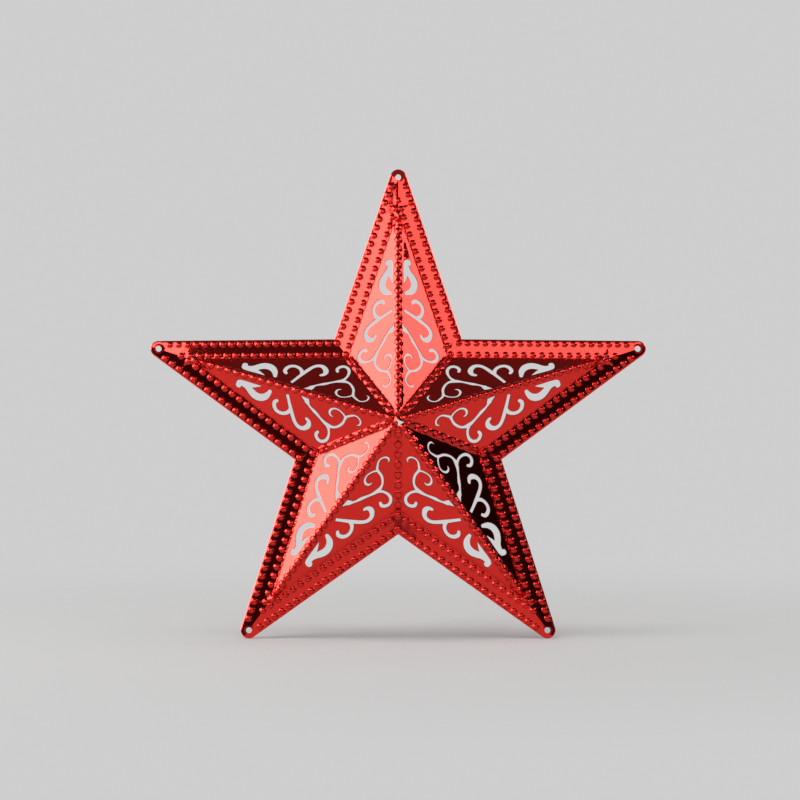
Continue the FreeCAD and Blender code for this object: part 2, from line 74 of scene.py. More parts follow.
# Each stroke of a scroll has stations: share of the ridge from the middle of the star, share
# of the facet's reach from the ridge to the valley corner, and width as a share of the ridge.
SCROLL_SHARES = {
    "leaf body": [(0.621, 0.165, 0.017), (0.635, 0.260, 0.028), (0.660, 0.325, 0.037),
                  (0.690, 0.322, 0.040), (0.716, 0.256, 0.036), (0.742, 0.190, 0.030),
                  (0.772, 0.170, 0.028)],
    "leaf barb": [(0.670, 0.122, 0.005), (0.688, 0.138, 0.014), (0.706, 0.152, 0.022),
                  (0.735, 0.160, 0.028), (0.766, 0.165, 0.030)],
    "leaf head": [(0.768, 0.165, 0.024), (0.775, 0.200, 0.028), (0.777, 0.225, 0.026)],
    "middle stem": [(0.538, 0.130, 0.015), (0.527, 0.238, 0.016), (0.516, 0.347, 0.018),
                    (0.504, 0.457, 0.020), (0.491, 0.560, 0.019), (0.474, 0.640, 0.020),
                    (0.452, 0.670, 0.022), (0.430, 0.636, 0.024), (0.418, 0.567, 0.024),
                    (0.421, 0.505, 0.020), (0.431, 0.474, 0.017)],
    "middle branch": [(0.513, 0.375, 0.019), (0.524, 0.450, 0.018), (0.541, 0.492, 0.018),
                      (0.562, 0.504, 0.019), (0.582, 0.475, 0.020), (0.594, 0.398, 0.020),
                      (0.592, 0.330, 0.018), (0.583, 0.298, 0.016)],
    "root stem": [(0.443, 0.160, 0.020), (0.433, 0.200, 0.014), (0.420, 0.245, 0.012),
                  (0.402, 0.290, 0.017), (0.382, 0.345, 0.015), (0.357, 0.417, 0.014),
                  (0.328, 0.475, 0.021), (0.297, 0.480, 0.013), (0.270, 0.415, 0.012),
                  (0.254, 0.320, 0.011), (0.247, 0.240, 0.012), (0.228, 0.190, 0.011),
                  (0.206, 0.160, 0.009), (0.186, 0.185, 0.009), (0.175, 0.250, 0.009),
                  (0.180, 0.310, 0.007), (0.190, 0.325, 0.004)],
    "lower curl": [(0.330, 0.480, 0.019), (0.320, 0.560, 0.013), (0.317, 0.650, 0.012),
                   (0.323, 0.735, 0.014), (0.337, 0.790, 0.016), (0.355, 0.803, 0.018),
                   (0.371, 0.765, 0.018), (0.377, 0.695, 0.016), (0.370, 0.648, 0.013)],
    "upper curl": [(0.247, 0.262, 0.011), (0.257, 0.208, 0.010), (0.273, 0.163, 0.009),
                   (0.297, 0.134, 0.009), (0.318, 0.160, 0.010), (0.327, 0.218, 0.011),
                   (0.321, 0.278, 0.010), (0.311, 0.292, 0.006)],
}

# The root stem starts in a little flag with sharp corners, given as the same two shares
ROOT_FLAG = [(0.475, 0.078), (0.433, 0.098), (0.428, 0.150), (0.426, 0.215), (0.436, 0.222),
             (0.452, 0.165)]

# Where the sheet starts, off the middle of the star
INNER_END = 0.0006

# How far each point's inner end stops short of the middle; the gap shows where one is cut back
INNER_ENDS = {"top": INNER_END, "right": 0.0008, "lower_right": 0.0030, "lower_left": 0.0012,
              "left": INNER_END}

# The borders were folded by eye: how much steeper than the rest each one leans
BORDER_LEANS = {"top": 1.3, "right": 1.0, "lower_right": 0.96, "lower_left": 1.0, "left": 0.97}

# Slope of a steep border, which the gauge is measured square to
STEEP_BORDER = 0.13

# The folds sharpen towards the crease, and the valleys towards the middle of the star: over
# what distance, and down to what share of their rounding
CREASE_FADE, CREASE_SHARE = 0.005, 0.12
MIDDLE_FADE, MIDDLE_SHARE = 0.02, 0.1

# The strips under the beads of the folds fade out at the crease and towards the middle
STRIP_FADE = 0.001
STRIP_START, STRIP_START_FADE = 0.003, 0.002
STRIP_POWER = 4

# Rings of vertices round each bead: share of its radius, and how many
BEAD_RINGS = [(0.4, 6), (0.74, 10), (1.0, 14)]

# Vertices of the flat sheet: spacing along the folds, the tip, the strips and the grid between,
# how far those on a fold keep apart, and how far from its ends they stop
FOLD_SPACING, TIP_SPACING, STRIP_SPACING, GRID_SPACING = 0.0011, 0.0006, 0.0013, 0.0024
FOLD_GAP, TIP_GAP = 0.00045, 0.0004
END_GAP, CROTCH_GAP = 0.0002, 0.0003
ROLL_SPACING, STROKE_SPACING = 0.0015, 0.0006
EDGE_STEPS, HOLE_STEPS, TIP_STEPS, CAP_STEPS, COLLAR_STEPS, ROLL_STEPS = 74, 13, 9, 9, 15, 10

# Lines of vertices beside the outline and the crease, as shares, and beside holes and folds
ROLL_SHARES = (0.25, 0.5, 0.75, 1.05)
CREASE_SHARES = (-0.62, -0.3, 0, 0.3, 0.62)
COLLAR_OFFSETS = (0.0003, 0.00055, 0.0008, 0.0011, 0.0015)
STRIP_OFFSETS = (0.0005, 0.001, 0.0016, 0.0022, 0.0026, 0.0034)

# The grid's rows stand a triangle's height apart, and reach as far as a point is wide
TRIANGLE_HEIGHT, WIDEST = 0.866, 0.045

# A vertex this near to a fold lies on it, and doubles this close are one
ON_FOLD, SAME = 1e-6, 1e-7

# The photograph's width and the star's middle in it, in pixels, and the film's in millimetres
PICTURE, MIDDLE_PIXEL, FILM = 800, (398.2, 426.3), 36.0


def length(name, default, note):
    return bpy.props.FloatProperty(name=name, description=note, default=default, min=0.0,
                                   precision=5, unit="LENGTH", subtype="DISTANCE")


def factor(name, default, note):
    return bpy.props.FloatProperty(name=name, description=note, default=default, min=0.0, max=1.0)


def colour(name, default, note):
    return bpy.props.FloatVectorProperty(name=name, description=note, default=default, size=3,
                                         min=0.0, max=1.0, subtype="COLOR")


def angle(name, degrees, note):
    return bpy.props.FloatProperty(name=name, description=note, default=math.radians(degrees),
                                   subtype="ANGLE")


class TINSTAR_PG_sheet(bpy.types.PropertyGroup):
    """Sizes of the folded sheet of a point"""

    tip_radius: length("Tip radius", 0.1688, "Centre to the sharp corner of a tip")
    crotch_radius: length("Crotch radius", 0.0659, "Centre to the corner between two points")
    band_width: length("Border width", 0.0123, "Outline to the inner crease")
    band_rise: length("Border rise", 0.0013, "Rise of the border from outline to crease")
    crease_step: length("Crease step", 0.0009, "Small step up from the border to the facet")
    crease_width: length("Crease width", 0.0015, "How wide that step is seen from the front")
    apex_rise: length("Pyramid rise", 0.0314, "Rise of the pyramid from the step to the middle")
    gauge: length("Gauge", 0.0005, "Thickness of the tin")
    tip_corner: length("Tip corner", 0.0049, "Radius of a rounded tip")
    hole_radius: length("Hole radius", 0.00185, "Radius of a tip hole")
    collar_width: length("Collar width", 0.0016, "Width of the raised rim round a hole")
    collar_rise: length("Collar rise", 0.00014, "Height of that rim")
    ridge_round: length("Ridge rounding", 0.0016, "How softly the ridge is folded")
    strip_half: length("Strip half-width", 0.0026, "Fold to the edge of its pressed strip")
    strip_rise: length("Strip rise", 0.0005, "Height of the strip that carries a fold's beads")
    valley_round: length("Valley rounding", 0.0008, "How softly the valley is folded")
    wave: length("Hand wave", 0.00012, "Unevenness of the sheet")
    # Painted shade: how far beside a cut the sheet is painted darker
    cut_shade_reach: length("Cut stain", 0.00035, "How far the lacquer is dulled beside a cut")
    edge_roll: length("Edge roll", 0.00026, "How far the outline is rolled back")
    edge_roll_width: length("Edge roll width", 0.0008, "How wide that rolled edge is")


class TINSTAR_PG_beads(bpy.types.PropertyGroup):
    """Sizes of the rows of pressed beads"""

    radius: length("Bead radius", 0.00215, "Radius of a bead on the border")
    rise: length("Bead rise", 0.0009, "Height of a bead on the border")
    fold_radius: length("Fold bead radius", 0.0025, "Radius of a bead on a ridge or valley")
    fold_rise: length("Fold bead rise", 0.0012, "Height of a bead on a ridge or valley")
    foot: length("Foot", 0.00002, "How softly a bead meets the sheet")
    pitch: length("Pitch", 0.00545, "Distance between beads, before it is evened out")
    outer_inset: length("Outer row inset", 0.0025, "Outline to the outer row")
    inner_inset: length("Inner row inset", 0.0095, "Outline to the inner row")
    first_distance: length("First bead", 0.0072, "Tip hole to the first bead of the outer row")
    ridge_end: length("Ridge row end", 0.0054, "Middle of the star to the ridge row")
    valley_end: length("Valley row end", 0.0085, "Middle of the star to the valley row")


class TINSTAR_PG_finish(bpy.types.PropertyGroup):
    """Colours of the lacquer and the solder"""

    lacquer: colour("Lacquer", (0.90, 0.031, 0.022), "Red lacquer over bright tin")
    # Darker lacquer for the random patches where it pools, also used as painted shade round the
    # foot of each bead
    pooled_and_shaded: colour("Pooled lacquer", (0.34, 0.008, 0.007), "Where the lacquer lies deeper")
    gloss: factor("Sheet roughness", 0.045, "Roughness of the lacquered sheet")
    frost: factor("Bead frosting", 0.16, "How much duller the stretched beads are")
    # Painted shade: the colour given to the cut walls and to the dark ring beside each cut
    edge: colour("Cut edge", (0.16, 0.02, 0.018), "Bare edge of the cut sheet, stained dark")
    coat: factor("Clear gloss", 0.25, "How much the lacquer's own surface shines")
    solder: colour("Solder", (0.55, 0.55, 0.56), "Soft solder, dull grey")


class TINSTAR_PG_studio(bpy.types.PropertyGroup):
    """Camera, floor and light"""

    distance: length("Camera distance", 2.5, "Camera to the star")
    below: angle("Camera drop", 7, "How far below its front normal the star is seen from")
    scale: bpy.props.FloatProperty(name="Pixels per metre", description="Scale of the picture "
                                   "at the back plane of the star", default=1645.0, min=1.0)
    tilt: angle("Floor tilt", 10, "The star leans back; in its own upright frame the floor tilts")
    backdrop: factor("Backdrop", 0.62, "Level of the pale background")
    floor: colour("Floor", (0.66, 0.66, 0.655), "Pale paper sweep")


GROUPS = {"tinstar_sheet": TINSTAR_PG_sheet, "tinstar_beads": TINSTAR_PG_beads,
          "tinstar_finish": TINSTAR_PG_finish, "tinstar_studio": TINSTAR_PG_studio}


def eased(share):
    """A share from 0 to 1 that starts and ends softly."""
    return share * share * (3 - 2 * share)


class PointShape:
    """The plan and the front level of one point, which lies along Z from the star's middle."""

    def __init__(self, sheet, beads):
        self.sheet, self.beads = sheet, beads
        tip, crotch, half = sheet.tip_radius, sheet.crotch_radius, TURN / 2
        side = math.sqrt(tip * tip + crotch * crotch - 2 * tip * crotch * math.cos(half))
        self.edge = tip * crotch * math.sin(half) / side
        self.turn = math.acos(self.edge / tip)
        self.tip_ratio, self.crotch_ratio = tip / self.edge, crotch / self.edge
        self.hole = tip - sheet.tip_corner * self.tip_ratio
        self.crease = self.edge - sheet.band_width
        self.outline_level = sheet.gauge * math.hypot(1, STEEP_BORDER)
        self.facet_level = self.outline_level + sheet.band_rise + sheet.crease_step
        self.facet_slope = sheet.apex_rise / self.crease
        self.valley = np.array([math.sin(half), math.cos(half)])

    def edge_distance(self, x, z):
        """Distance from the star's axis square to the nearer edge, rounded at the folds."""
        sheet, x = self.sheet, np.abs(x)
        plain = x * math.sin(self.turn) + z * math.cos(self.turn)
        fade = np.clip((self.crease - plain) / CREASE_FADE, CREASE_SHARE, 1)
        own = np.hypot(x, fade * sheet.ridge_round) * math.sin(self.turn) + z * math.cos(self.turn)
        beyond = TURN - self.turn
        other = x * math.sin(beyond) + z * math.cos(beyond)
        softness = fade * sheet.valley_round * np.clip(z / MIDDLE_FADE, MIDDLE_SHARE, 1)
        return (own + other) / 2 - np.hypot((other - own) / 2, softness)

    def from_outline(self, x, z):
        """Distance in plan from the rounded outline."""
        x, sine, cosine = np.abs(x), math.sin(self.turn), math.cos(self.turn)
        past_tip = z * sine - x * cosine > self.hole * sine
        straight = self.edge - x * sine - z * cosine
        return np.where(past_tip, self.sheet.tip_corner - np.hypot(x, z - self.hole), straight)

    def strip(self, x, z):
        """Rise of the half-round strips that run along the ridge and the valleys."""
        x, half = np.abs(x), TURN / 2
        fold = self.crease - x * math.sin(self.turn) - z * math.cos(self.turn)
        started = np.clip((np.hypot(x, z) - STRIP_START) / STRIP_START_FADE, 0, 1)
        inside = np.clip(fold / STRIP_FADE, 0, 1) * started
        nearest = np.minimum(x, np.abs(x * math.cos(half) - z * math.sin(half)))
        across = np.clip(1 - (nearest / self.sheet.strip_half) ** STRIP_POWER, 0, 1)
        return self.sheet.strip_rise * inside * across

    def level(self, x, z, lean):
        """How far the front of the sheet stands ahead of the back plane, without beads."""
        sheet = self.sheet
        reach = self.edge_distance(x, z)
        roll = np.clip(1 - self.from_outline(x, z) / sheet.edge_roll_width, 0, 1)
        slope = lean * sheet.band_rise / sheet.band_width
        border = self.outline_level + slope * (self.edge - reach)
        facet = self.facet_level + self.facet_slope * (self.crease - reach)
        share = eased(np.clip((self.crease - reach) / sheet.crease_width + 0.5, 0, 1))
        rim = (np.hypot(x, z - self.hole) - sheet.hole_radius) / sheet.collar_width
        raised = sheet.collar_rise * eased(np.clip(1 - rim, 0, 1)) - sheet.edge_roll * roll * roll
        return border * (1 - share) + facet * share + raised + self.strip(x, z)

    def by_edge(self, distance, along):
        """A place on the line at a distance from the axis, so far along it."""
        return np.array([distance * math.sin(self.turn) - along * math.cos(self.turn),
                         distance * math.cos(self.turn) + along * math.sin(self.turn)])

    def beside_edge(self, distance, start, end, spacing):
        """Places along that line, with the start measured from the valley."""
        back = distance * math.sqrt(self.crotch_ratio ** 2 - 1)
        return [self.by_edge(distance, a) for a in np.arange(start - back, end, spacing)]

    def arc(self, radius, start, end, count):
        """Places on an arc about the tip hole."""
        return [np.array([math.cos(t), math.sin(t)]) * radius + [0, self.hole]
                for t in np.linspace(start, end, count)]

    def rows(self):
        """Bead centres in plan: those on the border, then those on the ridge and the valley."""
        beads = self.beads

        def row(start, end):
            gaps = round(np.linalg.norm(end - start) / beads.pitch)
            return [start + (end - start) * i / gaps for i in range(gaps + 1)]

        distance = self.edge - beads.outer_inset
        across = distance - self.hole * math.cos(self.turn)
        start = self.hole * math.sin(self.turn) - math.sqrt(beads.first_distance ** 2 - across ** 2)
        outer = row(self.by_edge(distance, start), self.valley * distance * self.crotch_ratio)
        distance = self.edge - beads.inner_inset
        corner = distance * self.crotch_ratio
        inner = row(self.by_edge(distance, distance * math.tan(self.turn)), self.valley * corner)
        middle = np.array([0.0, 1.0])
        ridge = row(middle * self.crease * self.tip_ratio, middle * beads.ridge_end)
        valley = row(self.valley * (corner - beads.pitch), self.valley * beads.valley_end)
        return outer + inner, ridge + valley

    def facet_place(self):
        """Turns shares along the ridge and across the facet into a place in plan."""
        apex = np.array([0, -self.facet_level - self.sheet.apex_rise, 0])
        tip = np.array([0, -self.facet_level, self.crease * self.tip_ratio])
        crotch = self.valley * self.crease * self.crotch_ratio
        crotch = np.array([crotch[0], -self.facet_level, crotch[1]])
        ridge = np.linalg.norm(tip - apex)
        along = (tip - apex) / ridge
        across = (crotch - apex) - along * np.dot(crotch - apex, along)
        reach = np.linalg.norm(across)
        return apex, along, across / reach, ridge, reach


class Spline:
    """A natural cubic through points, by the length of their chords."""

    def __init__(self, points):
        self.points = np.array(points, float)
        steps = np.linalg.norm(np.diff(self.points, axis=0), axis=1)
        self.knots = np.concatenate([[0], np.cumsum(steps)])
        count = len(points)
        matrix, right = np.eye(count), np.zeros((count, 2))
        slopes = np.diff(self.points, axis=0) / steps[:, None]
        for i in range(1, count - 1):
            matrix[i, i - 1:i + 2] = steps[i - 1], 2 * (steps[i - 1] + steps[i]), steps[i]
            right[i] = 6 * (slopes[i] - slopes[i - 1])
        self.bends = np.linalg.solve(matrix, right)

    def at(self, where):
        """Places and directions at lengths along the chords."""
        where = np.atleast_1d(where)
        i = np.clip(np.searchsorted(self.knots, where, side="right") - 1, 0, len(self.knots) - 2)
        step = (self.knots[i + 1] - self.knots[i])[:, None]
        a = (self.knots[i + 1] - where)[:, None] / step
        b = (where - self.knots[i])[:, None] / step
        m0, m1, p0, p1 = self.bends[i], self.bends[i + 1], self.points[i], self.points[i + 1]
        place = a * p0 + b * p1 + ((a ** 3 - a) * m0 + (b ** 3 - b) * m1) * step ** 2 / 6
        slope = (p1 - p0) / step + ((1 - 3 * a * a) * m0 + (3 * b * b - 1) * m1) * step / 6
        return place, slope


def stroke_outline(stations, ridge, reach, square=False):
    """A ribbon of changing width with rounded ends, as one closed line on the facet.

    A square one starts with a straight cut.
    """
    centres = [(a * ridge, b * reach) for a, b, width in stations]
    widths = np.array([width * ridge for a, b, width in stations])
    spine = Spline(centres)
    places, slopes = spine.at(spine.knots)
    along = slopes / np.linalg.norm(slopes, axis=1)[:, None]
    aside = np.stack([-along[:, 1], along[:, 0]], axis=1) * (widths / 2)[:, None]
    count = max(8, int(spine.knots[-1] / STROKE_SPACING))
    sides = []
    for sign in (1, -1):
        curve = Spline(places + sign * aside)
        sides.append(curve.at(np.linspace(0, curve.knots[-1], count))[0])
    caps = []
    for end, way in ((-1, 1), (0, -1)):
        caps.append([places[end] + way * (aside[end] * math.cos(t)
                                          + along[end] * widths[end] / 2 * math.sin(t))
                     for t in np.linspace(0, math.pi, CAP_STEPS)[1:-1]])
    return np.array([*sides[0], *caps[0], *sides[1][::-1], *([] if square else caps[1])])


def place_tree(places):
    """Finds the nearest of some places in plan."""
    tree = KDTree(len(places))
    for index, (x, z) in enumerate(places):
        tree.insert((x, z, 0), index)
    tree.balance()
    return tree


class Plan:
    """Places in plan, for a flat triangulation."""

    def __init__(self):
        self.points = []

    def add(self, place):
        self.points.append((float(place[0]), float(place[1])))
        return len(self.points) - 1

    def fill(self, places, clear):
        """Adds the places that keep clear of those already there."""
        tree = place_tree(self.points)
        for place in places:
            if tree.find((place[0], place[1], 0))[2] > clear:
                self.add(place)


def bead_rings(shape, border, folds):
    """Places round each bead where the sheet bends, each kept to the bead it is nearest to."""
    centres = border + folds
    tree = place_tree(centres)
    places = []
    for index, centre in enumerate(centres):
        places.append(centre)
        radius = shape.beads.radius if index < len(border) else shape.beads.fold_radius
        start = math.pi / 2 if abs(centre[0]) < ON_FOLD else math.pi / 2 - TURN / 2
        for share, count in BEAD_RINGS:
            for i in range(count):
                t = start + 2 * math.pi * i / count
                place = centre + np.array([math.cos(t), math.sin(t)]) * radius * share
                if tree.find((place[0], place[1], 0))[1] == index:
                    places.append(place)
    return places


def between(values, low, high, gap):
    """Values between two ends, in order, thinned where they come closer than a gap."""
    kept = []
    for value in sorted(v for v in values if low < v < high):
        if not kept or value - kept[-1] > gap:
            kept.append(value)
    return kept


def half_plan(shape):
    """Triangles of the right half of a point in plan, with its scrolls left out."""
    sheet, half, quarter = shape.sheet, TURN / 2, math.pi / 2
    rings = bead_rings(shape, *shape.rows())
    normal = np.array([math.cos(half), -math.sin(half)])
    plan = Plan()

    def inside(place, margin):
        x, z = place
        edge = x * math.sin(shape.turn) + z * math.cos(shape.turn)
        from_hole = math.hypot(x, z - shape.hole)
        return (x > margin and np.dot(normal, place) < -margin
                and edge < shape.edge - margin and math.hypot(x, z) > INNER_END + margin
                and from_hole > sheet.hole_radius + margin
                and (z < shape.hole or from_hole < sheet.tip_corner - margin))

    def fill(places, margin, clear):
        plan.fill([place for place in places if inside(place, margin)], clear)

    # The outline, with the beads' own vertices where they lie on a fold
    hole = shape.arc(sheet.hole_radius, -quarter, quarter, HOLE_STEPS)
    tip = shape.arc(sheet.tip_corner, quarter, quarter - shape.turn, TIP_STEPS)
    crotch = shape.valley * sheet.crotch_radius
    hole_foot, hole_top, tip_top = hole[0][1], shape.hole + sheet.hole_radius, tip[0][1]
    on_ridge = [z for x, z in rings if abs(x) < ON_FOLD]
    on_ridge += list(np.arange(INNER_END, hole_foot, FOLD_SPACING))
    below = between(on_ridge, INNER_END + END_GAP, hole_foot - END_GAP, FOLD_GAP)
    above = between(np.arange(hole_top, tip_top, TIP_SPACING), hole_top + END_GAP,
                    tip_top - END_GAP, TIP_GAP)
    on_valley = [math.hypot(x, z) for x, z in rings
                 if abs(np.dot(normal, (x, z))) < ON_FOLD and x > 0]
    on_valley += list(np.arange(INNER_END, sheet.crotch_radius, FOLD_SPACING))
    on_valley = between(on_valley, INNER_END + END_GAP, sheet.crotch_radius - CROTCH_GAP, FOLD_GAP)
    edge = np.linspace(0, 1, EDGE_STEPS)[1:-1, None] * (crotch - tip[-1]) + tip[-1]
    loop = [np.array([0, z]) for z in (INNER_END, *below)] + hole
    loop += [np.array([0, z]) for z in above] + tip + list(edge) + [crotch]
    loop += [shape.valley * r for r in (*reversed(on_valley), INNER_END)]
    loop = [plan.add(place) for place in loop][::-1]

    # The scrolls, each with a line beside it where the painted shade beside its cut ends
    apex, along, across, ridge, reach = shape.facet_place()
    lines = [stroke_outline(stations, ridge, reach, name == "middle stem")
             for name, stations in SCROLL_SHARES.items()]
    lines.append(np.array([(a * ridge, b * reach) for a, b in ROOT_FLAG]))
    strokes, beside = [], []
    for line in lines:
        places = apex + line[:, :1] * along + line[:, 1:] * across
        strokes.append([plan.add((x, z)) for x, y, z in places])
        flat = places[:, [0, 2]]
        ahead = np.roll(flat, -1, axis=0)
        steps = ahead - np.roll(flat, 1, axis=0)
        aside = np.stack([steps[:, 1], -steps[:, 0]], axis=1)
        aside /= np.linalg.norm(aside, axis=1)[:, None]
        way = np.sign(np.sum(flat[:, 0] * ahead[:, 1] - ahead[:, 0] * flat[:, 1]))
        beside += list(flat + way * aside * sheet.cut_shade_reach)
    fill(beside, margin=0.0003, clear=0.85 * sheet.cut_shade_reach)

    # The pressed forms: beads, rolled edge, crease, collar and strips
    fill(rings, margin=0.00022, clear=0.00022)
    rolled = []
    for share in ROLL_SHARES:
        inset = share * sheet.edge_roll_width
        rolled += shape.beside_edge(shape.edge - inset, 0.0005, shape.hole * math.sin(shape.turn),
                                    ROLL_SPACING)
        rolled += shape.arc(sheet.tip_corner - inset, quarter, quarter - shape.turn, ROLL_STEPS)
    fill(rolled, margin=0.00012, clear=0.00014)
    creased = []
    for share in CREASE_SHARES:
        distance = shape.crease + sheet.crease_width * share
        creased += shape.beside_edge(distance, 0, distance * math.tan(shape.turn), STRIP_SPACING)
    fill(creased, margin=0.0002, clear=0.00042)
    collar = []
    for offset in COLLAR_OFFSETS:
        collar += shape.arc(sheet.hole_radius + offset, -quarter, quarter, COLLAR_STEPS)
    fill(collar, margin=0.0002, clear=0.0002)
    strips = []
    for offset in STRIP_OFFSETS:
        strips += [np.array([offset, z]) for z in np.arange(0.001, shape.hole, STRIP_SPACING)]
        strips += [shape.valley * r - normal * offset
                   for r in np.arange(0.001, sheet.crotch_radius, STRIP_SPACING)]
    fill(strips, margin=0.0002, clear=0.00035)
    levels = np.arange(0, sheet.tip_radius, GRID_SPACING * TRIANGLE_HEIGHT)
    grid = [np.array([x + (row % 2) * GRID_SPACING / 2, z]) for row, z in enumerate(levels)
            for x in np.arange(0, WIDEST, GRID_SPACING)]
    fill(grid, margin=0.0005, clear=0.0011)

    inside_only, nearness = 1, 1e-8
    vertices, _, triangles, from_vertices, _, from_faces = delaunay_2d_cdt(
        [Vector(p) for p in plan.points], [], [loop] + strokes, inside_only, nearness)
    kept = [t for t, origin in zip(triangles, from_faces) if origin == [0]]
    first, last = strokes[0][0], strokes[-1][-1]
    rims = [not origins or any(first <= i <= last for i in origins) for origins in from_vertices]
    return [tuple(v) for v in vertices], kept, rims


def whole_plan(shape):
    """Both halves of a point, joined along the ridge, as a mesh with its front towards -Y."""
    places, triangles, rims = half_plan(shape)
    mesh = bmesh.new()
    sine, cosine = math.sin(TURN / 2), math.cos(TURN / 2)
    joint = mesh.verts.layers.float_vector.new("joint_side")
    scroll_rim = mesh.verts.layers.float.new("scroll_rim")
    for sign in (1, -1):
        made = []
        for (x, z), rim in zip(places, rims):
            vertex = mesh.verts.new((sign * x, 0, z))
            vertex[scroll_rim] = float(rim)
            if abs(x * cosine - z * sine) < 2 * SAME and math.hypot(x, z) > INNER_END:
                vertex[joint] = (sign * cosine, 0, -sine)
            made.append(vertex)
        for triangle in triangles:
            corners = [made[i] for i in triangle]
            mesh.faces.new(corners if sign < 0 else corners[::-1])
    loose = [v for v in mesh.verts if not v.link_faces]
    bmesh.ops.delete(mesh, geom=loose, context="VERTS")
    on_ridge = [v for v in mesh.verts if abs(v.co.x) < SAME]
    bmesh.ops.remove_doubles(mesh, verts=on_ridge, dist=SAME)
    bmesh.ops.reverse_faces(mesh, faces=mesh.faces)
    return mesh


class NodeTree:
    """Adds nodes to a tree and wires each to the sockets or values that it is given."""

    def __init__(self, tree):
        self.tree = tree

    def feed(self, node, key, value):
        if isinstance(value, bpy.types.NodeSocket):
            self.tree.links.new(value, node.inputs[key])
        else:
            node.inputs[key].default_value = value

    def node(self, kind, inputs=None, **settings):
        node = self.tree.nodes.new(kind)
        for name, value in settings.items():
            setattr(node, name, value)
        for key, value in (inputs or {}).items():
            self.feed(node, key, value)
        return node

    def maths(self, operation, *values):
        return self.node("ShaderNodeMath", dict(enumerate(values)), operation=operation).outputs[0]

    def plus(self, first, second):
        return self.maths("ADD", first, second)

    def less(self, first, second):
        return self.maths("SUBTRACT", first, second)

    def times(self, first, second):
        return self.maths("MULTIPLY", first, second)

    def vector(self, operation, *values):
        inputs = dict(zip((0, "Scale") if operation == "SCALE" else (0, 1), values))
        made = self.node("ShaderNodeVectorMath", inputs, operation=operation)
        return made.outputs["Value" if operation in ("DOT_PRODUCT", "LENGTH") else "Vector"]

    def joined(self, inputs):
        return self.node("ShaderNodeCombineXYZ", inputs).outputs[0]

    def apart(self, vector):
        return self.node("ShaderNodeSeparateXYZ", {0: vector}).outputs

    def noise(self, vector, scale, detail):
        inputs = {"Vector": vector, "Scale": scale, "Detail": detail}
        return self.node("ShaderNodeTexNoise", inputs).outputs["Fac"]

    def ramp(self, value, start, end, low=0.0, high=1.0, kind="LINEAR"):
        """Runs from low to high while a value runs from start to end."""
        inputs = {"Value": value, "From Min": start, "From Max": end, "To Min": low, "To Max": high}
        return self.node("ShaderNodeMapRange", inputs, interpolation_type=kind).outputs[0]

    def blend(self, share, first, second):
        """Mixes two colours; a plain one is given as red, green and blue."""
        colours = [c if isinstance(c, bpy.types.NodeSocket) else (*c, 1) for c in (first, second)]
        inputs = {"Factor": share, "A": colours[0], "B": colours[1]}
        return self.node("ShaderNodeMix", inputs, data_type="RGBA").outputs["Result"]

    def relief(self, shader, height, strength, distance):
        """Bumps a shader's normal."""
        inputs = {"Height": height, "Strength": strength, "Distance": distance}
        self.feed(shader, "Normal", self.node("ShaderNodeBump", inputs).outputs[0])

    def moved(self, geometry, offset, **more):
        """Moves a geometry's vertices."""
        inputs = {"Geometry": geometry, "Offset": offset, **more}
        return self.node("GeometryNodeSetPosition", inputs).outputs[0]

    def store(self, geometry, name, value, kind="FLOAT", **more):
        """Keeps a value on a geometry under a name."""
        inputs = {"Geometry": geometry, "Name": name, "Value": value, **more}
        domain = "FACE" if "Selection" in more else "POINT"
        return self.node("GeometryNodeStoreNamedAttribute", inputs, data_type=kind,
                         domain=domain).outputs[0]

    def stored(self, name):
        """A vector that is kept on the geometry."""
        return self.node("GeometryNodeInputNamedAttribute", {"Name": name},
                         data_type="FLOAT_VECTOR").outputs[0]


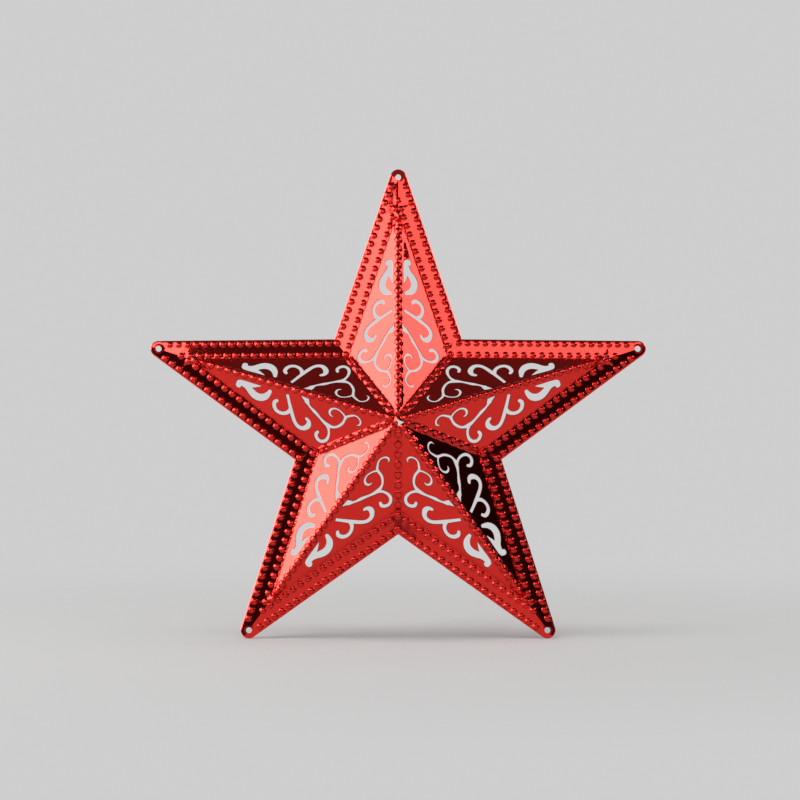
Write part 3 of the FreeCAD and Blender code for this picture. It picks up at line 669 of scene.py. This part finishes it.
def pressing_tree():
    """Geometry nodes that press beads into a folded sheet and give it its thickness."""
    tree = bpy.data.node_groups.new("press_sheet", "GeometryNodeTree")
    face = tree.interface
    face.new_socket("Sheet", in_out="INPUT", socket_type="NodeSocketGeometry")
    for name, kind in (("Border Beads", "Object"), ("Fold Beads", "Object"),
                       ("Border Radius", "Float"), ("Fold Radius", "Float"),
                       ("Border Rise", "Float"), ("Fold Rise", "Float"), ("Foot", "Float"),
                       ("Gauge", "Float"), ("Wave", "Float"), ("Seed", "Float"),
                       ("Finish", "Material")):
        face.new_socket(name, in_out="INPUT", socket_type=f"NodeSocket{kind}")
    face.new_socket("Sheet", in_out="OUTPUT", socket_type="NodeSocketGeometry")
    t = NodeTree(tree)
    given = t.node("NodeGroupInput").outputs

    place = t.node("GeometryNodeInputPosition").outputs[0]
    x, y, z = t.apart(place)
    flat = t.joined({0: x, 2: z})

    def dome(points, radius, rise):
        """Rise of the sheet over the nearest bead, and the share of its radius to its middle."""
        info = t.node("GeometryNodeObjectInfo", {"Object": points}, transform_space="RELATIVE")
        near = t.node("GeometryNodeProximity", {"Geometry": info.outputs["Geometry"],
                                                "Sample Position": flat}, target_element="POINTS")
        across = near.outputs["Distance"]
        square = t.plus(t.times(radius, radius), t.times(rise, rise))
        ball = t.maths("DIVIDE", square, t.times(rise, 2.0))
        inside = t.maths("MAXIMUM", t.less(t.times(ball, ball), t.times(across, across)), 0.0)
        cap = t.less(t.maths("SQRT", inside), t.less(ball, rise))
        foot = t.times(given["Foot"], given["Foot"])
        soft = t.maths("SQRT", t.plus(t.times(cap, cap), foot))
        lift = t.times(t.plus(cap, soft), 0.5)
        return lift, t.maths("DIVIDE", across, radius)

    border, border_gap = dome(given["Border Beads"], given["Border Radius"], given["Border Rise"])
    fold, fold_gap = dome(given["Fold Beads"], given["Fold Radius"], given["Fold Rise"])
    bump = t.maths("MAXIMUM", border, fold)
    gap = t.maths("MINIMUM", border_gap, fold_gap)

    shifted = t.vector("ADD", place, t.joined({1: given["Seed"]}))
    swell = t.times(t.noise(shifted, scale=42.0, detail=1.0), given["Wave"])
    lift = t.times(t.plus(bump, swell), -1.0)
    pressed = t.moved(given["Sheet"], t.joined({1: lift}))
    marked = t.store(pressed, "bead_gap", gap)

    # The back lies a gauge behind the front, within a joint's plane, and stops at the back plane
    normal = t.node("GeometryNodeInputNormal").outputs[0]
    side = t.stored("joint_side")
    lean = t.vector("DOT_PRODUCT", normal, side)
    kept = t.less(1.0, t.times(lean, lean))
    inward = t.vector("SUBTRACT", t.vector("SCALE", side, lean), normal)
    parts = t.apart(t.vector("SCALE", inward, t.maths("DIVIDE", given["Gauge"], kept)))
    room = t.times(y, -1.0)
    step = t.joined({0: parts[0], 1: t.maths("MINIMUM", parts[1], room), 2: parts[2]})
    front = t.store(marked, "back_step", step, "FLOAT_VECTOR")
    back_step = t.stored("back_step")

    # A wall along each open edge joins the two, and is marked as cut metal
    neighbours = t.node("GeometryNodeInputMeshEdgeNeighbors").outputs[0]
    open_edge = t.node("FunctionNodeCompare", {2: neighbours, 3: 1}, data_type="INT",
                       operation="EQUAL").outputs[0]
    walls = t.node("GeometryNodeExtrudeMesh", {"Mesh": front, "Selection": open_edge,
                                               "Offset Scale": 0.0}, mode="EDGES").outputs
    cut = t.store(walls["Mesh"], "cut_edge", 1.0, Selection=walls["Side"])
    walled = t.moved(cut, back_step, Selection=walls["Top"])
    flipped = t.node("GeometryNodeFlipFaces", {0: front}).outputs[0]
    back = t.moved(flipped, back_step)
    both = t.node("GeometryNodeJoinGeometry")
    t.feed(both, 0, walled)
    t.feed(both, 0, back)
    merged = t.node("GeometryNodeMergeByDistance", {0: both.outputs[0], "Distance": SAME})
    real = t.node("GeometryNodeRealizeInstances", {0: merged.outputs[0]}).outputs[0]
    smooth = t.node("GeometryNodeSetShadeSmooth", {0: real}).outputs[0]
    done = t.node("GeometryNodeSetMaterial", {"Geometry": smooth, "Material": given["Finish"]})
    t.node("NodeGroupOutput", {0: done.outputs[0]})
    return tree


def new_object(name, data):
    made = bpy.data.objects.new(name, data)
    bpy.context.scene.collection.objects.link(made)
    return made


def bead_object(name, centres):
    """Bead centres of a whole point as loose vertices in plan."""
    places = {(round(sign * x, 7), round(z, 7)) for x, z in centres for sign in (1, -1)}
    mesh = bpy.data.meshes.new(name)
    mesh.from_pydata([(x, 0, z) for x, z in sorted(places)], [], [])
    return new_object(name, mesh)


def set_inputs(modifier, values):
    """Sets a geometry nodes modifier's inputs by the identifiers of their sockets."""
    for socket in modifier.node_group.interface.items_tree:
        if socket.in_out == "INPUT" and socket.name in values:
            modifier[socket.identifier] = values[socket.name]


def new_material(name):
    """A material, its tree and its shader."""
    material = bpy.data.materials.new(name)
    material.use_nodes = True
    return material, NodeTree(material.node_tree), material.node_tree.nodes["Principled BSDF"]


def lacquer_material(finish):
    """Translucent red lacquer over bright tin: darker in random patches where it pools, with
    painted shade in a ring round the foot of each bead and on and beside the cuts, and dull on the
    beads.
    """
    material, t, shader = new_material("red_lacquered_tin")
    shader.inputs["Metallic"].default_value = 1.0
    shader.inputs["Coat Weight"].default_value = finish.coat
    shader.inputs["Coat Roughness"].default_value = 0.05
    place = t.node("ShaderNodeTexCoord").outputs["Object"]
    gap, rim, wall = (t.node("ShaderNodeAttribute", attribute_name=name).outputs["Fac"]
                      for name in ("bead_gap", "scroll_rim", "cut_edge"))
    foot_end = {"start": 0.9, "end": 0.995}
    deepest_pool_and_shade, cut_shade_share, edge_dullness = 0.8, 0.8, 0.35
    finest, coarsest = 0.8 * finish.gloss, 1.25 * finish.gloss

    # Painted shade: a darker ring inside the foot of each bead, partly lacquer pooled deeper there
    foot = t.times(t.ramp(gap, 0.45, 0.85), t.less(1.0, t.ramp(gap, **foot_end)))
    uneven = t.ramp(t.noise(place, scale=35.0, detail=3.0), 0.35, 0.7, high=0.12)
    share = t.maths("MAXIMUM", t.times(foot, deepest_pool_and_shade), uneven)
    # Painted shade: the cut walls and a thin ring of sheet beside each cut are painted dark and
    # made rougher
    edge = t.maths("MAXIMUM", wall, t.times(rim, cut_shade_share))
    tone = t.blend(share, finish.lacquer, finish.pooled_and_shaded)
    t.feed(shader, "Base Color", t.blend(edge, tone, finish.edge))

    rough = t.ramp(t.noise(place, scale=420.0, detail=4.0), 0.3, 0.7, finest, coarsest)
    frosted = t.ramp(gap, **foot_end, low=finish.frost, high=0.0)
    dull = t.plus(t.plus(rough, frosted), t.times(edge, edge_dullness))
    t.feed(shader, "Roughness", dull)
    t.relief(shader, t.noise(place, scale=900.0, detail=2.0), strength=0.015, distance=0.0002)
    return material


def solder_material(finish):
    """Dull soft solder with a frosted, crinkled skin."""
    material, t, shader = new_material("soft_solder")
    shader.inputs["Metallic"].default_value = 1.0
    place = t.node("ShaderNodeTexCoord").outputs["Object"]
    cloud = t.noise(place, scale=260.0, detail=5.0)
    dark = tuple(0.55 * c for c in finish.solder)
    t.feed(shader, "Base Color", t.blend(cloud, dark, finish.solder))
    t.feed(shader, "Roughness", t.ramp(cloud, 0.0, 1.0, 0.28, 0.55))
    crinkle = t.node("ShaderNodeTexVoronoi", {"Vector": place, "Scale": 700.0})
    t.relief(shader, crinkle.outputs["Distance"], strength=0.25, distance=0.0003)
    return material


def move_vertices(mesh, rule):
    """Gives a mesh the places that a rule makes of its x, y and z."""
    places = np.zeros(len(mesh.vertices) * 3)
    mesh.vertices.foreach_get("co", places)
    places = np.stack(rule(*places.reshape(-1, 3).T), axis=1)
    mesh.vertices.foreach_set("co", places.ravel())
    mesh.update()


class TINSTAR_OT_press_points(bpy.types.Operator):
    """Folds, pierces and presses the five points of the star"""

    bl_idname = "tinstar.press_points"
    bl_label = "Press the Points"

    def execute(self, context):
        scene = context.scene
        sheet, beads = scene.tinstar_sheet, scene.tinstar_beads
        shape = PointShape(sheet, beads)
        border, folds = shape.rows()
        border = bead_object("border_bead_centres", border)
        folds = bead_object("fold_bead_centres", folds)
        tree = pressing_tree()
        values = {"Border Beads": border, "Border Radius": beads.radius,
                  "Border Rise": beads.rise, "Fold Beads": folds,
                  "Fold Radius": beads.fold_radius, "Fold Rise": beads.fold_rise,
                  "Foot": beads.foot, "Gauge": sheet.gauge, "Wave": sheet.wave,
                  "Finish": lacquer_material(scene.tinstar_finish)}
        plan = whole_plan(shape)
        for number, name in enumerate(POINTS):
            sine, cosine = math.sin(number * TURN), math.cos(number * TURN)
            folded = plan.copy()
            if INNER_ENDS[name] > INNER_END:
                bmesh.ops.bisect_plane(folded, geom=[*folded.verts, *folded.edges, *folded.faces],
                                       dist=SAME, plane_co=(0, 0, INNER_ENDS[name]),
                                       plane_no=(0, 0, -1), clear_outer=True)
            mesh = bpy.data.meshes.new(f"{name}_sheet")
            folded.to_mesh(mesh)
            folded.free()
            move_vertices(mesh, lambda x, y, z: (x, -shape.level(x, z, BORDER_LEANS[name]), z))
            blank = new_object(f"{name}_blank", mesh)
            modifier = blank.modifiers.new("press", "NODES")
            modifier.node_group = tree
            set_inputs(modifier, {**values, "Seed": float(number)})
            context.view_layer.update()
            graph = context.evaluated_depsgraph_get()
            pressed = bpy.data.meshes.new_from_object(blank.evaluated_get(graph))
            bpy.data.objects.remove(blank)
            move_vertices(pressed, lambda x, y, z: (x * cosine + z * sine, y,
                                                    z * cosine - x * sine - shape.hole))
            pressed.set_sharp_from_angle(angle=math.radians(26))
            point = new_object(f"pressed_point_{name}", pressed)
            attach(point, "root")
            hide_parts(f"star_point_{name}")
        plan.free()
        for helper in (border, folds):
            bpy.data.objects.remove(helper)
        return {"FINISHED"}


class TINSTAR_OT_lay_solder(bpy.types.Operator):
    """Gives the solder runs behind the valleys their dull finish"""

    bl_idname = "tinstar.lay_solder"
    bl_label = "Lay the Solder"

    def execute(self, context):
        finish = solder_material(context.scene.tinstar_finish)
        for name in SEAMS:
            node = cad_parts[f"solder_seam_{name}"]
            node.data.materials.clear()
            node.data.materials.append(finish)
        return {"FINISHED"}


def rectangle(name, width, height):
    """A flat rectangle about its own middle."""
    mesh = bpy.data.meshes.new(name)
    x, y = width / 2, height / 2
    mesh.from_pydata([(-x, -y, 0), (x, -y, 0), (x, y, 0), (-x, y, 0)], [], [(0, 1, 2, 3)])
    return new_object(name, mesh)


def face(thing, centre, target, axis):
    """Puts a thing at a centre with an axis towards its target."""
    thing.location = centre
    thing.rotation_mode = "QUATERNION"
    thing.rotation_quaternion = (target - centre).to_track_quat(axis, "Y")


def card(name, centre, target, size, level):
    """A glowing studio card, or a dark flag, that shows only in reflections."""
    made = rectangle(name, *size)
    face(made, centre, target, "Z")
    material, t, shader = new_material(name)
    nodes = t.tree.nodes
    nodes.remove(shader)
    glow = t.node("ShaderNodeEmission", {"Strength": level})
    t.feed(nodes["Material Output"], 0, glow.outputs[0])
    made.data.materials.append(material)
    made.visible_camera = made.visible_diffuse = made.visible_shadow = False
    made.visible_transmission = made.visible_volume_scatter = False


def softbox(name, centre, target, size, power):
    """An area lamp that lights the floor and stays out of reflections."""
    lamp = bpy.data.lights.new(name, "AREA")
    lamp.shape, lamp.size, lamp.size_y = "RECTANGLE", *size
    lamp.energy = power
    made = new_object(name, lamp)
    face(made, centre, target, "-Z")
    made.visible_glossy = False


def floor_material(studio):
    """Pale paper that fades into the backdrop away from the star."""
    material, t, shader = new_material("pale_paper")
    shader.inputs["Roughness"].default_value = 0.85
    place = t.node("ShaderNodeTexCoord").outputs["Object"]
    low = tuple(0.985 * c for c in studio.floor)
    tone = t.blend(t.noise(place, scale=9.0, detail=2.0), low, studio.floor)
    t.feed(shader, "Base Color", tone)
    fade = t.ramp(t.vector("LENGTH", place), 0.18, 0.55, kind="SMOOTHSTEP")
    clear = t.node("ShaderNodeBsdfTransparent")
    mixed = t.node("ShaderNodeMixShader", {0: fade, 1: shader.outputs[0], 2: clear.outputs[0]})
    t.feed(t.tree.nodes["Material Output"], 0, mixed.outputs[0])
    return material


def backdrop_world(studio):
    """A pale backdrop for the camera, with its own levels for reflections and soft light."""
    world = bpy.data.worlds.new("pale_backdrop")
    world.use_nodes = True
    t = NodeTree(world.node_tree)
    rays = t.node("ShaderNodeLightPath").outputs
    x, y, z = t.apart(t.node("ShaderNodeTexCoord").outputs["Generated"])
    front_level, back_level, soft_level = 0.22, 0.32, 0.42
    seen = t.times(rays["Is Camera Ray"], studio.backdrop)
    behind = t.ramp(y, -0.18, -0.02, front_level, back_level)
    below = t.ramp(z, -0.15, -0.3, front_level, studio.backdrop)
    shiny = t.times(rays["Is Glossy Ray"], t.maths("MAXIMUM", behind, below))
    soft = t.times(rays["Is Diffuse Ray"], soft_level)
    background = t.tree.nodes["Background"]
    background.inputs["Color"].default_value = (1, 1, 1, 1)
    t.feed(background, "Strength", t.plus(t.plus(seen, shiny), soft))
    return world


class TINSTAR_OT_set_stage(bpy.types.Operator):
    """Sets the floor, the cards and lamps, the backdrop and the camera"""

    bl_idname = "tinstar.set_stage"
    bl_label = "Set the Stage"

    def execute(self, context):
        scene, studio = context.scene, context.scene.tinstar_studio
        shape = PointShape(scene.tinstar_sheet, scene.tinstar_beads)
        middle = Vector((0, 0, -shape.hole))

        floor = rectangle("paper_floor", 1.6, 1.6)
        floor.location = (0, 0, CAD_BOX[0].z)
        floor.rotation_euler = (studio.tilt, 0, 0)
        floor.data.materials.append(floor_material(studio))

        def at(x, y, z):
            return middle + Vector((x, y, z))

        # Centre, what it faces, size and level; the small flag makes the wedge in the top point
        for name, centre, target, size, level in (
                ("left_card", (-0.60, -0.15, 0.25), (0, -0.15, 0.1), (0.60, 0.50), 7.5),
                ("right_card", (0.55, -0.14, 0.40), (0, -0.14, 0.25), (0.44, 0.225), 4.2),
                ("right_flag", (0.55, -0.12, 0.115), (0, -0.12, 0.115), (0.44, 0.33), 0.01),
                ("ceiling_card", (0, -0.14, 0.9), (0, -0.14, 0), (1.0, 0.7), 0.11),
                ("right_streak_flag", (0.53, -0.1675, 0.3995), (0, -0.1675, 0.2),
                 (0.135, 0.041), 0.02)):
            card(name, at(*centre), at(*target), size, level)

        # Left, right, low and high edge and level of those on a plane in front of the star
        front = -0.60
        for name, left, right, low, high, level in (
                ("front_left_card", -0.32, -0.164, 0.135, 0.33, 5.5),
                ("front_right_card", 0.02, 0.21, 0.135, 0.33, 3.0),
                ("front_top_flag", -0.164, 0.0, 0.18, 0.33, 0.07),
                ("front_left_flag", -0.32, -0.14, -0.11, 0.105, 0.03),
                ("front_right_flag", 0.14, 0.32, -0.11, 0.105, 0.02),
                ("front_low_card", -0.14, 0.14, -0.31, -0.11, 0.60)):
            x, z = (left + right) / 2, (low + high) / 2
            card(name, at(x, front, z), at(x, 0, z), (right - left, high - low), level)

        softbox("key_softbox", at(-0.9, -0.8, 3.2), at(0, 0, -0.1), (1.4, 1.4), 50.0)
        softbox("fill_softbox", at(1.3, -0.3, 3.0), at(0, 0, -0.1), (1.8, 1.8), 16.0)
        scene.world = backdrop_world(studio)

        lens = bpy.data.cameras.new("camera")
        lens.sensor_width = FILM
        lens.lens = FILM * studio.distance * studio.scale / PICTURE
        lens.clip_start, lens.clip_end = 0.05, 20.0
        camera = new_object("camera", lens)
        ahead = Vector((0, math.cos(studio.below), math.sin(studio.below)))
        up = Vector((0, -math.sin(studio.below), math.cos(studio.below)))
        aside, lower = PICTURE / 2 - MIDDLE_PIXEL[0], MIDDLE_PIXEL[1] - PICTURE / 2
        aim = middle + (Vector((aside, 0, 0)) + up * lower) / studio.scale
        camera.location = aim - ahead * studio.distance
        camera.rotation_mode = "QUATERNION"
        camera.rotation_quaternion = ahead.to_track_quat("-Z", "Y")
        scene.camera = camera
        scene.view_settings.view_transform = "Standard"
        return {"FINISHED"}


class TINSTAR_PT_panel(bpy.types.Panel):
    """Sizes, finishes and steps of the tin star"""

    bl_idname = "TINSTAR_PT_panel"
    bl_label = "Tin Star"
    bl_space_type = "VIEW_3D"
    bl_region_type = "UI"
    bl_category = "Tin Star"

    def draw(self, context):
        for group, kind in GROUPS.items():
            box = self.layout.box()
            box.label(text=kind.__doc__)
            for name in kind.__annotations__:
                box.prop(getattr(context.scene, group), name)
        for step in STEPS:
            self.layout.operator(step.bl_idname)


STEPS = (TINSTAR_OT_press_points, TINSTAR_OT_lay_solder, TINSTAR_OT_set_stage)


def register():
    for kind in (*GROUPS.values(), *STEPS, TINSTAR_PT_panel):
        bpy.utils.register_class(kind)
    for group, kind in GROUPS.items():
        setattr(bpy.types.Scene, group, bpy.props.PointerProperty(type=kind))


def unregister():
    for group in GROUPS:
        delattr(bpy.types.Scene, group)
    for kind in reversed((*GROUPS.values(), *STEPS, TINSTAR_PT_panel)):
        bpy.utils.unregister_class(kind)


def main():
    register()
    bpy.ops.tinstar.press_points()
    bpy.ops.tinstar.lay_solder()
    bpy.ops.tinstar.set_stage()


if __name__ == "__main__":
    main()
